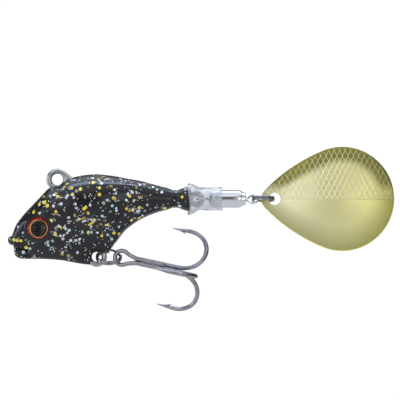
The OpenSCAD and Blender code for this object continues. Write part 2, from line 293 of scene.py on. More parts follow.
def metalFinish(name, light, dark, roughLow, roughHigh, grain, bumpDepth):
    # plated wire and sheet: cloudy plating, fine drawing marks, and rubbed edges
    material, tree, shader = startMaterial(name)
    cloud = noiseField(tree, grain * 0.25, detail=4)
    marks = noiseField(tree, grain, detail=6, rough=0.7)
    edges = addNode(tree, "ShaderNodeNewGeometry").outputs["Pointiness"]
    plated = blendColours(tree, spread(tree, cloud, 0, 1), dark, light)
    rubbed = tuple(min(1.0, 1.12 * c + 0.04) for c in light)
    setSockets(tree, shader, {
        "Base Color": blendColours(tree, spread(tree, edges, 0, 0.5, 0.53, 0.6), plated, rubbed),
        "Roughness": spread(tree, marks, roughLow, roughHigh),
        "Normal": addBump(tree, marks, bumpDepth),
        "Metallic": 1.0})
    return material


def paintFinish():
    # near-black lacquer with a fine silver dust in it, under a wet clear coat
    material, tree, shader = startMaterial("black_glitter_paint")
    coord = addNode(tree, "ShaderNodeTexCoord")
    dust = addNode(tree, "ShaderNodeTexVoronoi", feature="F1")
    dust.inputs["Scale"].default_value = 2600
    tree.links.new(coord.outputs["Object"], dust.inputs["Vector"])
    grain = spread(tree, dust.outputs["Distance"], 1, 0, 0.10, 0.16)
    patches = spread(tree, noiseField(tree, 320, detail=2), 0, 1, 0.5, 0.62)
    shown = mathNode(tree, "MULTIPLY", grain, patches)
    lacquer = blendColours(tree, noiseField(tree, 180), (0.003, 0.003, 0.0035), (0.008, 0.008, 0.009))
    setSockets(tree, shader, {
        "Base Color": blendColours(tree, shown, lacquer, (0.30, 0.31, 0.34)),
        "Roughness": spread(tree, noiseField(tree, 500), 0.34, 0.5),
        "Normal": addBump(tree, dust.outputs["Distance"], 0.00002, 0.4),
        "Coat Normal": addBump(tree, noiseField(tree, 900, detail=2), 0.00002, 0.5),
        "Coat Weight": 1.0, "Coat Roughness": 0.05, "Coat IOR": 1.38, "Specular IOR Level": 0.15})
    return material


def flakeFinish(name, metallic, rough):
    # foil flakes: each has its own tint, and its rim is a little darker
    material, tree, shader = startMaterial(name)
    tint = addNode(tree, "ShaderNodeAttribute", attribute_name="flakeTint").outputs["Color"]
    cloud = spread(tree, noiseField(tree, 4200, detail=2), 0.0, 0.22)
    setSockets(tree, shader, {
        "Base Color": blendColours(tree, cloud, tint, (0.25, 0.22, 0.18)),
        "Roughness": spread(tree, noiseField(tree, 6000), rough, rough + 0.15),
        "Metallic": metallic, "Coat Weight": 1.0, "Coat Roughness": 0.05})
    return material


def foilFinish():
    # red metallic foil with fine brushing
    material, tree, shader = startMaterial("red_foil")
    cloud = noiseField(tree, 900, detail=4)
    brushed = noiseField(tree, 5200, detail=5, rough=0.7)
    setSockets(tree, shader, {
        "Base Color": blendColours(tree, spread(tree, cloud, 0, 1), (0.34, 0.010, 0.006), (0.72, 0.05, 0.03)),
        "Roughness": spread(tree, brushed, 0.22, 0.42),
        "Normal": addBump(tree, brushed, 0.00001),
        "Metallic": 0.75})
    return material


def printFinish():
    # dull black print; its gloss comes from the dome over it
    material, tree, shader = startMaterial("black_print")
    cloud = noiseField(tree, 1500, detail=3)
    setSockets(tree, shader, {
        "Base Color": blendColours(tree, spread(tree, cloud, 0, 1), (0.003, 0.003, 0.002),
                                   (0.012, 0.009, 0.006)),
        "Roughness": spread(tree, cloud, 0.3, 0.4),
        "Specular IOR Level": 0.03})
    return material


def clearFinish(name, tintLow, tintHigh, transmission, roughLow, roughHigh, ior, coat, grain, bumpDepth):
    # cast plastic or silicone, slightly cloudy and uneven
    material, tree, shader = startMaterial(name)
    cloud = noiseField(tree, grain, detail=3)
    setSockets(tree, shader, {
        "Base Color": blendColours(tree, spread(tree, cloud, 0, 1), tintLow, tintHigh),
        "Roughness": spread(tree, noiseField(tree, grain * 3, detail=4), roughLow, roughHigh),
        "Normal": addBump(tree, cloud, bumpDepth),
        "Transmission Weight": transmission, "IOR": ior, "Coat Weight": coat, "Coat Roughness": 0.05})
    return material


def bladeFinish():
    # olive-gold plate with painted light: paler in the bowl's middle, painted shade darkening it towards the
    # rear and round the rims, stamped hatching above the centre line with painted highlights on its ridges, and
    # a painted highlight along the lower rim
    material, tree, shader = startMaterial("gold_blade")
    coord = addNode(tree, "ShaderNodeTexCoord")
    parts = addNode(tree, "ShaderNodeSeparateXYZ")
    tree.links.new(coord.outputs["Object"], parts.inputs["Vector"])
    rim = addNode(tree, "ShaderNodeAttribute", attribute_name="rimReach").outputs["Fac"]

    # two families of steep ridges cross in long diamonds
    pitch, slope = hatch["pitch"] * mm, math.tan(math.radians(hatch["slope"]))
    height = mathNode(tree, "ADD", parts.outputs["Z"], -tailAxis.z * mm)
    lines = []
    for lean in (-1, 1):
        shifted = mathNode(tree, "MULTIPLY_ADD", height, lean / slope, parts.outputs["X"])
        away = mathNode(tree, "PINGPONG", mathNode(tree, "MULTIPLY", shifted, 1 / pitch), 0.5)
        lines.append(spread(tree, away, 1, 0, 0.0, hatch["width"]))
    ridge = mathNode(tree, "MAXIMUM", lines[0], lines[1])
    above = spread(tree, height, 0, 1, hatch["from"] * mm, (hatch["from"] + 0.15) * mm)
    inside = spread(tree, rim, 0, 1, 0.15, 0.5)
    ridge = mathNode(tree, "MULTIPLY", ridge, mathNode(tree, "MULTIPLY", above, inside))

    cloud = noiseField(tree, 140, detail=4)
    swirl = noiseField(tree, 2600, detail=6, rough=0.7, stretch=(0.25, 1, 1))
    # painted shade: a deeper olive round the upper rim, with a quick edge, and a softer one round the lower
    # rim, where the plate reflects a dark part of the room
    upper = mathNode(tree, "MULTIPLY", spread(tree, rim, 1, 0, 1.9, 3.3),
                     spread(tree, height, 0, 1, 0.0005, 0.003))
    lower = mathNode(tree, "MULTIPLY", spread(tree, rim, 0.6, 0, 0.2, 4.6),
                     spread(tree, height, 1, 0, 0.0005, 0.003))
    plate = blendColours(tree, spread(tree, cloud, 0, 1), (0.84, 0.80, 0.45), (0.90, 0.86, 0.52))
    # painted shade: the plate turns a darker olive from the nose towards the rear
    along = spread(tree, parts.outputs["X"], 0, 0.85, (bladeNose.x + 6) * mm, (bladeNose.x + 24) * mm)
    plate = blendColours(tree, along, plate, (0.66, 0.61, 0.19))
    # painted shade: the rim bands darken the plate to a deep olive
    plate = blendColours(tree, mathNode(tree, "MAXIMUM", upper, lower), plate, (0.25, 0.23, 0.045))
    # painted highlight: the stamped ridges are coloured paler than the plate
    plate = blendColours(tree, mathNode(tree, "MULTIPLY", ridge, 0.75), plate, (0.95, 0.93, 0.70))
    # painted highlight: a bright yellow band along the rim, on its lower half only
    edge = mathNode(tree, "MULTIPLY", spread(tree, rim, 1, 0, 0.10, 0.24),
                    spread(tree, height, 1, 0, -0.003, 0.003))
    stamped = addBump(tree, ridge, 0.00003, 0.8)
    setSockets(tree, shader, {
        "Base Color": blendColours(tree, edge, plate, (0.80, 0.72, 0.10)),
        "Roughness": spread(tree, swirl, 0.34, 0.46),
        "Normal": addBump(tree, swirl, 0.000003, 0.6, after=stamped),
        "Metallic": 1.0})
    return material


paint = paintFinish()
goldFlake = flakeFinish("gold_flake", 0.25, 0.25)
silverFlake = flakeFinish("silver_flake", 0.45, 0.2)
redFoil = foilFinish()
goldFoil = metalFinish("gold_foil", (0.86, 0.58, 0.12), (0.60, 0.36, 0.06), 0.18, 0.3, 3000, 0.000004)
blackPrint = printFinish()
clearDome = clearFinish("clear_dome", (0.97, 0.94, 0.94), (1.0, 0.99, 0.99), 1.0, 0.0, 0.004, 1.3, 0.0,
                        300, 0.000001)
clearSilicone = clearFinish("clear_silicone", (0.88, 0.91, 0.95), (0.97, 0.98, 1.00), 0.82, 0.10, 0.24, 1.38,
                            0.5, 700, 0.00002)
stainless = metalFinish("stainless_wire", (0.48, 0.48, 0.49), (0.32, 0.32, 0.33), 0.16, 0.28, 2400, 0.000003)
brightNickel = metalFinish("bright_nickel", (0.74, 0.74, 0.75), (0.62, 0.62, 0.63), 0.07, 0.13, 1500, 0.000001)
ringSteel = metalFinish("ring_steel", (0.34, 0.34, 0.34), (0.20, 0.20, 0.20), 0.12, 0.22, 3200, 0.000002)
blackNickel = metalFinish("black_nickel", (0.36, 0.35, 0.38), (0.25, 0.24, 0.27), 0.05, 0.10, 2600, 0.000001)
brazeMetal = metalFinish("braze_metal", (0.34, 0.33, 0.35), (0.20, 0.19, 0.21), 0.24, 0.4, 3500, 0.00002)
goldBlade = bladeFinish()
print("materials made")


bodyLow, bodyHigh = nodeBox("body_casting")
lipX = bodyLow.x
bellyLoop = jointPlace("belly_ring_swing")

casting = {
    "sides": 144,
    "keel": 0.55,                # how much thinner the belly is than the back
    "shoulder": 0.45,            # how flat the slope from the back's ridge to the flank is
    "shoulderAngle": 42,         # where that slope ends, in degrees from the ridge
    "slopeFrom": 0.9,            # and how far behind the lip it starts
    "socketRim": (2.34, 0.12),   # radius and height of the rim round the socket
    "webHalf": 0.62,             # half the thickness round the belly loop
    "bellyHole": 0.98,           # radius of the hole through the web
    "tieRelief": 1.3,            # radius of the room round the line tie
    "socket": 2.14,              # radius of the eye socket
    "neckRadius": 1.68,
    "flangeRadius": 2.33,
    "neckAt": 32.0,              # distances behind the lip
    "flangeAt": 34.3,
    # behind the lip, height of the back, height of the belly, half thickness
    "stations": (
        (0.00, -11.44, -11.60, 0.12), (0.10, -11.10, -11.96, 0.60), (0.32, -10.92, -12.26, 0.95),
        (0.70, -10.70, -12.48, 1.26), (0.90, -10.38, -12.60, 1.42), (1.06, -9.95, -12.68, 1.55),
        (1.17, -9.66, -12.80, 1.64), (1.22, -9.50, -13.70, 1.70), (1.30, -9.30, -14.18, 1.75),
        (1.42, -8.98, -14.48, 1.82), (1.62, -8.55, -14.66, 1.92), (1.95, -8.05, -14.86, 2.06),
        (2.35, -7.50, -15.00, 2.22), (2.90, -6.80, -15.08, 2.42),
        (4.10, -5.50, -15.10, 2.85), (6.15, -3.33, -15.10, 3.45), (7.80, -1.68, -15.16, 3.80),
        (9.90, -0.72, -15.32, 4.05), (12.10, 0.30, -15.70, 4.25), (14.20, 0.78, -16.06, 4.30),
        (15.65, 0.93, -16.20, 4.30), (16.70, 0.99, -15.50, 4.24), (19.24, 0.78, -13.55, 4.02),
        (20.60, 0.58, -11.90, 3.82), (22.40, 0.22, -9.62, 3.46), (25.20, -0.28, -7.65, 2.95),
        (27.60, -0.92, -6.55, 2.42), (29.60, -1.45, -5.92, 2.06)),
    "blendTo": 31.6,             # where the section has become the round neck
}
eyeLow, eyeHigh = nodeBox("right_eye_foil")
eyePlace = {"x": (eyeLow.x + eyeHigh.x) / 2, "z": (eyeLow.z + eyeHigh.z) / 2}
eyeFloor, foilFace = eyeLow.y, eyeHigh.y
eyeRadius = (eyeHigh.x - eyeLow.x) / 2


def smoothTable(rows, column):
    # a curve through the rows that never swings past them
    xs, ys = [row[0] for row in rows], [row[column] for row in rows]
    steps = [(y2 - y1) / (x2 - x1) for x1, x2, y1, y2 in zip(xs, xs[1:], ys, ys[1:])]
    inner = [0 if a * b <= 0 else 2 * a * b / (a + b) for a, b in zip(steps, steps[1:])]
    slopes = [steps[0]] + inner + [steps[-1]]

    def curve(x):
        k = max(j for j in range(len(xs) - 1) if xs[j] <= max(x, xs[0]))
        h = xs[k + 1] - xs[k]
        t = min(1.0, (x - xs[k]) / h)
        return ((1 + 2 * t) * (1 - t) ** 2 * ys[k] + t * t * (3 - 2 * t) * ys[k + 1]
                + h * t * (1 - t) * ((1 - t) * slopes[k] - t * slopes[k + 1]))
    return curve


backCurve, bellyCurve, thickCurve = (smoothTable(casting["stations"], column) for column in (1, 2, 3))
mouth = {"corner": Vector((-5.1, -13.45)), "front": Vector((-8.6, -12.66)), "depth": 0.62, "width": 0.17,
         "lip": Vector((-6.15, -14.0)), "lipHalf": (0.98, 0.50), "lipGroove": 0.26, "grooveWidth": 0.22,
         "sag": 0.16}


def castingPoint(behind, angle):
    # the painted surface at a distance behind the lip; the angle is 0 on the back
    last = casting["stations"][-1][0]
    round_ = ease((behind - last) / (casting["blendTo"] - last))
    radius = casting["neckRadius"] + (casting["flangeRadius"] - casting["neckRadius"]) * ease(
        (behind - casting["neckAt"]) / (casting["flangeAt"] - casting["neckAt"]))
    inTable = min(behind, last)
    top = (1 - round_) * backCurve(inTable) + round_ * (tailAxis.z + radius)
    low = (1 - round_) * bellyCurve(inTable) + round_ * (tailAxis.z - radius)
    half = (1 - round_) * thickCurve(inTable) + round_ * radius
    share = behind / (bodyHigh.x - bodyLow.x)
    keel = casting["keel"] * (1 - ease((share - 0.5) / 0.35)) * ease(share / 0.1)
    y = half * math.sin(angle) * (1 + keel * math.cos(angle))
    z = (top + low) / 2 + (top - low) / 2 * math.cos(angle)
    # the straight slope from the ridge of the back down to the shoulder
    shoulderAngle = math.radians(casting["shoulderAngle"])
    fromTop = min(angle, 2 * math.pi - angle)
    if fromTop < shoulderAngle and behind > casting["slopeFrom"]:
        side = 1 if angle < math.pi else -1
        yEdge = side * half * math.sin(shoulderAngle) * (1 + keel * math.cos(shoulderAngle))
        zEdge = (top + low) / 2 + (top - low) / 2 * math.cos(shoulderAngle)
        t = y / yEdge if yEdge else 0
        flat = casting["shoulder"] * (1 - round_) * ease((behind - casting["slopeFrom"]) / 2)
        z += flat * (top + (zEdge - top) * t - z)
    return Vector((lipX + behind, y, z))


def softLimit(depth, room, soft=0.25):
    # the depth, held below the room by a rounded shoulder
    return depth - soft * math.log1p(math.exp(min(30.0, (depth - room) / soft)))


def sculpted(point):
    # mouth, lower lip, eye rim and the thin web round the belly loop
    flat = Vector((point.x, point.z))
    line = mouth["corner"] - mouth["front"]
    t = (flat - mouth["front"]).dot(line) / line.length_squared
    near = mouth["front"] + min(1, max(0, t)) * line
    sag = mouth["sag"] * math.sin(math.pi * min(1, max(0, t)))
    away = flat.y - near.y + sag
    gap = math.hypot(away, max(0, t - 1) * line.length)
    press = mouth["depth"] * math.exp(-(gap / mouth["width"]) ** 2) * (1 - 0.55 * min(1, max(0, t)))
    if -0.2 < t < 1 and 0 < away < 0.9:
        press -= 0.10 * math.sin(math.pi * away / 0.9) * (1 - t)           # the upper lip stands out
    offset = flat - mouth["lip"]
    ring = math.hypot(offset.x / mouth["lipHalf"][0], offset.y / mouth["lipHalf"][1])
    press += mouth["lipGroove"] * math.exp(-((ring - 1) / mouth["grooveWidth"]) ** 2) - 0.08 * max(0, 1 - ring)
    fromEye = math.hypot(point.x - eyePlace["x"], point.z - eyePlace["z"])
    rimRadius, rimRise = casting["socketRim"]
    press -= rimRise * math.exp(-((fromEye - rimRadius) / 0.12) ** 2)
    side = 1 if point.y > 0 else -1
    depth = abs(point.y)
    if depth > 0.02:
        depth = max(0.02, depth - press * ease(depth / 0.6))
    fromLoop = math.hypot(point.x - bellyLoop.x, point.z - bellyLoop.z)
    room = casting["webHalf"] + 0.085 * max(0, fromLoop - 1.2) ** 2
    depth = max(0.02, softLimit(depth, room)) if depth > 0.3 else depth
    return Vector((point.x, side * depth, point.z))


def castingShape():
    steps = [0.0]
    for stop, step in ((2.0, 0.05), (7.4, 0.14), (21.0, 0.24), (bodyHigh.x - bodyLow.x, 0.3)):
        while steps[-1] < stop - step * 0.5:
            steps.append(min(stop, steps[-1] + step))
    bm = bmesh.new()
    ring = bmesh.ops.create_circle(bm, segments=casting["sides"], radius=1)["verts"]
    edges = list(dict.fromkeys(edge for vert in ring for edge in vert.link_edges))
    bmesh.ops.edgeloop_fill(bm, edges=edges)
    for before, after in zip(steps, steps[1:]):
        made = bmesh.ops.extrude_edge_only(bm, edges=edges)["geom"]
        verts = [g for g in made if isinstance(g, bmesh.types.BMVert)]
        edges = [g for g in made if isinstance(g, bmesh.types.BMEdge)]
        bmesh.ops.translate(bm, vec=(0, 0, after - before), verts=verts)
    bmesh.ops.edgeloop_fill(bm, edges=edges)
    for vert in bm.verts:
        point = castingPoint(vert.co.z, math.atan2(vert.co.x, vert.co.y) % (2 * math.pi))
        vert.co = sculpted(point)
    bmesh.ops.recalc_face_normals(bm, faces=bm.faces)
    return bm


def pegShape(bm, x, z, radius, yLow, yHigh, sides=96):
    place = Matrix.Translation((x, (yLow + yHigh) / 2, z)) @ Matrix.Rotation(math.pi / 2, 4, "X")
    bmesh.ops.create_cone(bm, cap_ends=True, segments=sides, radius1=radius, radius2=radius,
                          depth=yHigh - yLow, matrix=place)


bodyPiece = finishPiece(castingShape(), "painted_casting", "lure_body", ["body_casting"],
                        paint, 50)
cutter = bmesh.new()
pegShape(cutter, eyePlace["x"], eyePlace["z"], casting["socket"], eyeFloor, 8)
pegShape(cutter, eyePlace["x"], eyePlace["z"], casting["socket"], -8, -eyeFloor)
pegShape(cutter, bellyLoop.x, bellyLoop.z, casting["bellyHole"], -7, 7)
pegShape(cutter, 0, 0, casting["tieRelief"], -7, 7)
carved(bodyPiece, cutter)
print("casting", len(bodyPiece.data.polygons), "faces")


glitter = {
    "gold": {"count": 175, "radius": (0.30, 0.39), "sides": 10, "tilt": 12, "together": 0.14,
             "tints": (((1.0, 0.78, 0.03), 0.62), ((1.0, 0.88, 0.16), 0.14), ((0.42, 0.30, 0.04), 0.14),
                       ((0.13, 0.10, 0.03), 0.10))},
    "silver": {"count": 210, "radius": (0.26, 0.35), "sides": 10, "tilt": 16, "together": 0.14,
               "tints": (((0.86, 0.88, 0.92), 0.46), ((0.66, 0.74, 0.92), 0.16), ((0.75, 0.62, 0.88), 0.12),
                         ((0.50, 0.84, 0.78), 0.08), ((0.34, 0.50, 0.80), 0.07), ((0.85, 0.60, 0.66), 0.05),
                         ((0.30, 0.31, 0.34), 0.06))},
    "speck": {"count": 900, "radius": (0.08, 0.15), "sides": 7, "tilt": 14, "together": 0.22,
              "tints": (((0.90, 0.92, 0.95), 0.60), ((0.62, 0.66, 0.74), 0.22), ((0.40, 0.80, 0.72), 0.08),
                        ((0.80, 0.40, 0.55), 0.04), ((0.72, 0.60, 0.14), 0.06))},
}


def orderedFaces(mesh):
    # each face's corners from the lowest one on, and the faces by their corners: a mesh can be numbered
    # in another order on each run, and the flakes have to fall in the same places
    faces = []
    for polygon in mesh.polygons:
        corners = [mesh.vertices[k].co / mm for k in polygon.vertices]
        first = min(range(len(corners)), key=lambda k: tuple(corners[k]))
        faces.append(corners[first:] + corners[:first])
    return sorted(faces, key=lambda corners: [tuple(corner) for corner in corners])


def scatteredFlakes(row, seed):
    # thin foil discs, half sunk in the paint and slightly tilted
    draw = random.Random(seed)
    faces = orderedFaces(bodyPiece.data)
    centres = [sum(corners, Vector()) / len(corners) for corners in faces]
    normals = [geometry.normal(*corners) for corners in faces]
    areas = [sum(geometry.area_tri(corners[0], b, c) for b, c in zip(corners[1:], corners[2:]))
             for corners in faces]
    numbers = iter(range(sum(len(corners) for corners in faces)))
    tree = BVHTree.FromPolygons([corner for corners in faces for corner in corners],
                                [[next(numbers) for _ in corners] for corners in faces])
    tints, shares = zip(*row["tints"])
    bm = bmesh.new()
    tintLayer = bm.loops.layers.float_color.new("flakeTint")
    made, last = 0, None
    for index in draw.choices(range(len(areas)), weights=areas, k=row["count"] * 3):
        if made == row["count"]:
            break
        place, normal = centres[index], normals[index]
        if last and draw.random() < row["together"]:
            place = last + 3 * row["radius"][1] * Vector([draw.uniform(-1, 1) for _ in range(3)])
            place, normal, _, _ = tree.find_nearest(place)
        fromEye = math.hypot(place.x - eyePlace["x"], place.z - eyePlace["z"])
        fromTie = math.hypot(place.x, place.z)
        fromLoop = math.hypot(place.x - bellyLoop.x, place.z - bellyLoop.z)
        size = draw.uniform(*row["radius"])
        tailward = place.x > bodyHigh.x - 1.0
        thin = abs(place.y) < 1.0 and size > 0.2
        if thin or fromEye < 2.4 + size or fromTie < 1.4 + size or fromLoop < 1.1 + size or tailward:
            continue
        tilt = Matrix.Rotation(math.radians(draw.uniform(0, row["tilt"])), 4,
                               Vector((draw.uniform(-1, 1), draw.uniform(-1, 1), 0.01)).normalized())
        turn = normal.to_track_quat("Z", "Y").to_matrix().to_4x4()
        flake = bmesh.ops.create_cone(bm, cap_ends=True, segments=row["sides"], radius1=size,
                                      radius2=size * 0.94, depth=0.04,
                                      matrix=Matrix.Translation(place) @ turn @ tilt)["verts"]
        tint = draw.choices(tints, weights=shares)[0]
        glow = draw.uniform(0.82, 1.06)
        for face in {face for vert in flake for face in vert.link_faces}:
            for loop in face.loops:
                loop[tintLayer] = (*[min(1.0, glow * c) for c in tint], 1)
        made += 1
        last = place
    return bm


for kind, seed, slotName, material in (("gold", 11, "gold_foil", goldFlake),
                                       ("silver", 23, "bright_nickel", silverFlake),
                                       ("speck", 37, "bright_nickel", silverFlake)):
    finishPiece(scatteredFlakes(glitter[kind], seed), f"glitter_{kind}", "lure_body", [], material)
    print("glitter", kind)


eye = {"pupil": 1.55, "goldWidth": 0.11, "offset": (0.2, -0.16), "domeHeight": 0.72, "foilDish": 0.10}


def eyeTurn(side):
    # from a piece turned about +X to the flank on that side
    place = Matrix.Translation((eyePlace["x"], 0, eyePlace["z"]))
    return place @ Matrix.Rotation(side * math.pi / 2, 4, "Z")


def addEye(side, word):
    turn = eyeTurn(side)
    shift = Matrix.Translation((eye["offset"][0], 0, eye["offset"][1]))
    inlay = foilFace - 0.10
    foil = turnedShape([(eyeFloor, 0), (eyeFloor, eyeRadius - 0.03), (eyeFloor + 0.05, eyeRadius),
                        (foilFace - 0.06, eyeRadius), (foilFace, eyeRadius - 0.08),
                        (foilFace - eye["foilDish"], eye["pupil"] + 0.1), (inlay, 0.6), (inlay, 0)], 96)
    goldOut = eye["pupil"] + eye["goldWidth"]
    gold = turnedShape([(inlay - 0.02, eye["pupil"] - 0.05), (inlay - 0.02, goldOut), (inlay + 0.05, goldOut),
                        (inlay + 0.09, goldOut - 0.05), (inlay + 0.09, eye["pupil"] - 0.02),
                        (inlay - 0.02, eye["pupil"] - 0.05)], 96)
    pupil = turnedShape([(inlay - 0.01, 0), (inlay - 0.01, eye["pupil"]), (inlay + 0.06, eye["pupil"]),
                         (inlay + 0.085, eye["pupil"] - 0.04), (inlay + 0.085, 0)], 96)
    domeRadius = (eyeRadius ** 2 + eye["domeHeight"] ** 2) / (2 * eye["domeHeight"])
    rise = math.asin(eyeRadius / domeRadius)
    crown = [(foilFace + 0.03 + eye["domeHeight"] - domeRadius * (1 - math.cos(rise * (1 - k / 16))),
              domeRadius * math.sin(rise * (1 - k / 16))) for k in range(17)]
    dome = turnedShape([(foilFace + 0.02, 0), (foilFace + 0.02, eyeRadius - 0.03)] + crown[1:], 96)
    pieces = (("foil", foil, "red_foil", redFoil, turn),
              ("gold_ring", gold, "gold_foil", goldFoil, shift @ turn),
              ("pupil", pupil, "black_print", blackPrint, shift @ turn),
              ("dome", dome, "clear_dome", clearDome, turn))
    for name, bm, slotName, material, place in pieces:
        bmesh.ops.transform(bm, matrix=place, verts=bm.verts)
        finishPiece(bm, f"{word}_lure_eye_{name}", "lure_body", [f"{word}_eye_{name}"], material, 40)


addEye(-1, "left")
addEye(1, "right")
print("eyes")


wire = {"radius": 0.5, "tie": 1.58, "belly": 1.43, "tail": 1.1, "step": 0.2, "endAngle": 50, "leg": 2.9,
        "turn": 344, "bellyStart": 150, "bellyTurn": 342, "tailGap": 0.5, "elbow": 2.5, "run": 0.8}


def throughWire():
    bm = bmesh.new()
    tieC, bellyC = Vector((0, 0, 0)), bellyLoop.copy()
    tailC = Vector((bodyHigh.x + wire["radius"] + wire["tailGap"], 0, tailAxis.z))
    right, up = Vector((1, 0, 0)), Vector((0, 0, 1))
    # the line tie: the free end comes up out of the back and runs once round
    tie = arcPath(tieC, right, up, wire["tie"], wire["endAngle"], wire["endAngle"] + wire["turn"], 4)
    leg = tie[0] + wire["leg"] * (tie[0] - tie[1]).normalized()
    sweptWire(bm, evenPath([leg] + tie, wire["step"], 2), wire["radius"], 24)
    # inside the casting: down to the belly loop, round it, and along to the tail loop
    down = (tieC - bellyC).normalized()
    start = wire["bellyStart"]
    belly = arcPath(bellyC, right, up, wire["belly"], start, start + wire["bellyTurn"], 5)
    tail = arcPath(tailC, right, up, wire["tail"], 180, 180 - wire["turn"], 8)
    elbow = Vector((bellyC.x + wire["elbow"], 0, tailAxis.z))
    before = tailC - Vector((wire["tail"] + wire["run"], 0, 0))
    points = evenPath([tieC - down * wire["tie"]] + belly + [elbow, before] + tail, wire["step"], 2)
    sweptWire(bm, points, wire["radius"], 24)
    bmesh.ops.recalc_face_normals(bm, faces=bm.faces)
    return bm


finishPiece(throughWire(), "bent_wire_form", "lure_body", ["wire_form"], stainless)
print("wire form")


sleeveLow, sleeveHigh = nodeBox("tail_sleeve")
sleeve = {"steps": 72, "rows": 46, "bore": 1.70, "mouth": 2.36, "wall": 0.46, "flare": 0.20, "wrinkle": 0.11}


def sleeveRadius(t, angle):
    # outer radius at a share t of the length, with its wavy lip, tucks and slightly open end
    length = sleeveHigh.x - sleeveLow.x
    along = t * length
    waist = sleeve["bore"] + (sleeve["mouth"] - sleeve["bore"]) * (1 - ease((along - 0.75) / 1.5))
    lip = sleeve["flare"] * math.exp(-(along / 0.55) ** 2) * (1 + 0.5 * math.sin(3 * angle + 0.7))
    end = 0.12 * ease((t - 0.86) / 0.14)
    tucks = noise.noise(Vector((along * 0.55, 2.2 * math.cos(angle), 2.2 * math.sin(angle))))
    folds = sleeve["wrinkle"] * tucks * (0.35 + math.exp(-((along - 2.3) / 1.3) ** 2))
    return waist + sleeve["wall"] + lip + end + folds


def sleeveShape():
    outer = [(t / sleeve["rows"], 1.0) for t in range(sleeve["rows"] + 1)]
    inner = [(t, 0.5) for t, _ in reversed(outer)]
    bm = turnedShape(outer + inner + [outer[0]], sleeve["steps"])
    length = sleeveHigh.x - sleeveLow.x
    for vert in bm.verts:
        t, radial = vert.co.x, math.hypot(vert.co.y, vert.co.z)
        angle = math.atan2(vert.co.z, vert.co.y)
        outside = sleeveRadius(t, angle)
        wall = sleeve["wall"] if radial < 0.75 else 0.0
        wave = 0.22 * math.sin(2 * angle + 0.5) * (1 - t) ** 3 + 0.10 * math.sin(angle + 2.0) * t ** 4
        r = outside - wall
        vert.co = (sleeveLow.x + 0.24 + t * (length - 0.34) + wave, r * math.cos(angle),
                   tailAxis.z + r * math.sin(angle))
    bmesh.ops.recalc_face_normals(bm, faces=bm.faces)
    lipEdges = [e for e in bm.edges if len(e.link_faces) == 2 and e.calc_face_angle(0) > 1.0]
    bmesh.ops.bevel(bm, geom=lipEdges, offset=0.09, offset_type="OFFSET", segments=2, profile=0.5,
                    affect="EDGES", material=-1)
    return bm


finishPiece(sleeveShape(), "silicone_sleeve", "lure_body", ["tail_sleeve"], clearSilicone, 60)
print("sleeve")


barrelLow, barrelHigh = nodeBox("swivel_barrel")
swivel = {"radius": 1.67, "chamfer": 0.6, "taper": 0.8, "small": 1.06, "wire": 0.275, "eye": 0.925, "turn": 38}


def barrelShape():
    r, x0, x1 = swivel["radius"], barrelLow.x, barrelHigh.x
    mid = x1 - swivel["taper"]
    profile = [(x0 + 0.3, 0), (x0 + 0.3, 0.5), (x0, 0.6), (x0, 0.95), (x0 + 0.1, 1.12), (x0 + 0.62, r - 0.14),
               (x0 + 0.85, r - 0.04), (x0 + 1.1, r), (mid - swivel["chamfer"] - 0.06, r),
               (mid - swivel["chamfer"] + 0.04, r - 0.015), (mid - 0.05, r - 0.16), (mid, r - 0.2),
               (mid + 0.02, r - 0.29), (mid + 0.08, r - 0.31), (x1 - 0.1, swivel["small"] + 0.08),
               (x1, swivel["small"] - 0.04), (x1, 0.6), (x1 - 0.25, 0.52), (x1 - 0.25, 0)]
    bm = turnedShape(profile, 96)
    bmesh.ops.translate(bm, vec=(0, 0, tailAxis.z), verts=bm.verts)
    return bm


def eyeWireShape(centre, direction, turn):
    # the swivel's eye: a loop whose two legs run together into a turned neck
    out = Vector((direction, 0, 0))
    tilt = Matrix.Rotation(math.radians(turn), 3, "X")
    up = tilt @ Vector((0, 0, 1))
    loop = arcPath(centre, out, up, swivel["eye"], -148, 148, 5)
    leg = swivel["eye"] + swivel["wire"] + 0.1
    corners = [centre - leg * out - 0.15 * up] + loop + [centre - leg * out + 0.15 * up]
    bm = bmesh.new()
    sweptWire(bm, evenPath(corners, 0.12, 3), swivel["wire"], 18)
    neck = turnedShape([(-2.1, 0), (-2.1, 0.4), (-1.35, 0.4), (-1.18, 0.36), (-1.0, 0.31), (-0.86, 0.2),
                        (-0.84, 0)], 32)
    flip = Matrix.Diagonal((direction, 1, 1, 1))
    bmesh.ops.transform(neck, matrix=Matrix.Translation(centre) @ flip, verts=neck.verts)
    neckMesh = bpy.data.meshes.new("neck")
    neck.to_mesh(neckMesh)
    neck.free()
    bm.from_mesh(neckMesh)
    bpy.data.meshes.remove(neckMesh)
    bmesh.ops.recalc_face_normals(bm, faces=bm.faces)
    return bm


finishPiece(barrelShape(), "plated_barrel", "lure_body", ["swivel_barrel"], brightNickel, 28)
frontLow = nodeBox("swivel_front_eye")[0]
frontCentre = Vector((frontLow.x + swivel["eye"] + swivel["wire"], 0, tailAxis.z))
finishPiece(eyeWireShape(frontCentre, -1, 90), "looped_front_eye", "lure_body", ["swivel_front_eye"],
            brightNickel)
finishPiece(eyeWireShape(tailAxis, 1, -swivel["turn"]), "looped_rear_eye", "swivel_eye", ["swivel_rear_eye"],
            brightNickel)
print("swivel")


splitRings = {
    "tail": {"joint": "blade_swing", "outer": 4.4, "coil": 0.42, "start": 115},
    "belly": {"joint": "treble_swing", "outer": 5.0, "coil": 0.47, "start": 40},
}
ringTurn = {"degrees": 640, "stepFrom": 285, "stepOver": 70, "rise": 0.96}


